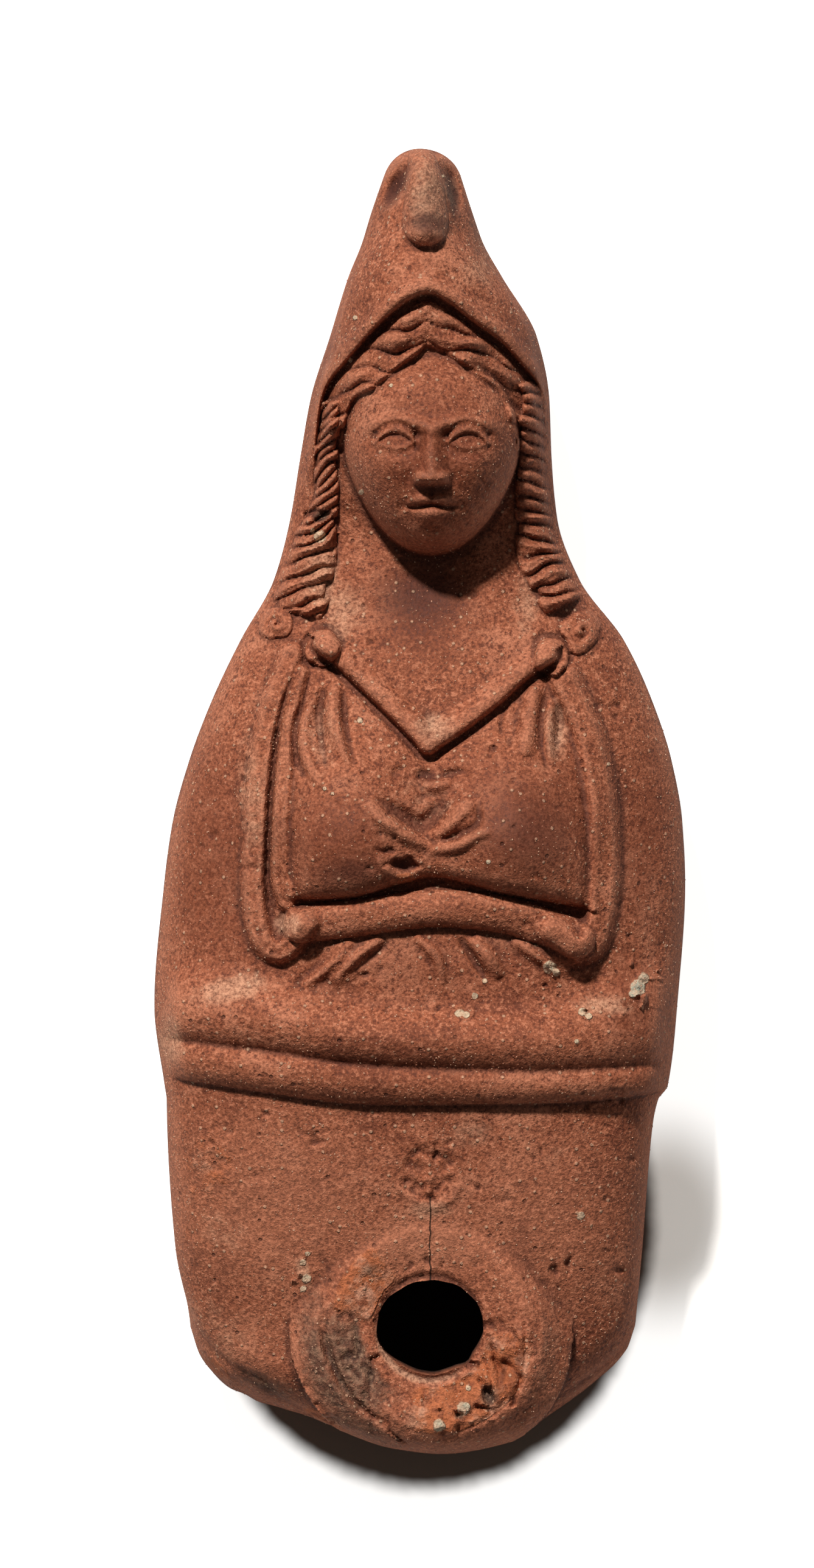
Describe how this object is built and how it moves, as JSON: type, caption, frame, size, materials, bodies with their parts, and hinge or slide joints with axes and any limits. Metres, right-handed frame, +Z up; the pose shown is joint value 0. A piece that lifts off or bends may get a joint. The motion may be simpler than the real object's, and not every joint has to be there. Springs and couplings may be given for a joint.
{
  "type": "oil lamp",
  "caption": "Mould-made terracotta oil lamp in the form of a helmeted goddess's bust lying on its back, hollow, with a raised nozzle rim and wick hole at the foot end.",
  "frame": {"origin": "under the middle of the outline, on the resting plane", "axes": "+Z up, out of the figure's front and the wick hole; +Y along the length towards the tip of the helmet; +X to the right of someone looking down on the figure with its head away from them"},
  "size_m": [0.0729, 0.1795, 0.0409],
  "materials": {
    "terracotta": "matt red-brown fired clay with fine sand and mica, worn and dusty, sooted round the wick hole"
  },
  "bodies": {
    "root": {"lamp_body": "terracotta"}
  },
  "joints": []
}
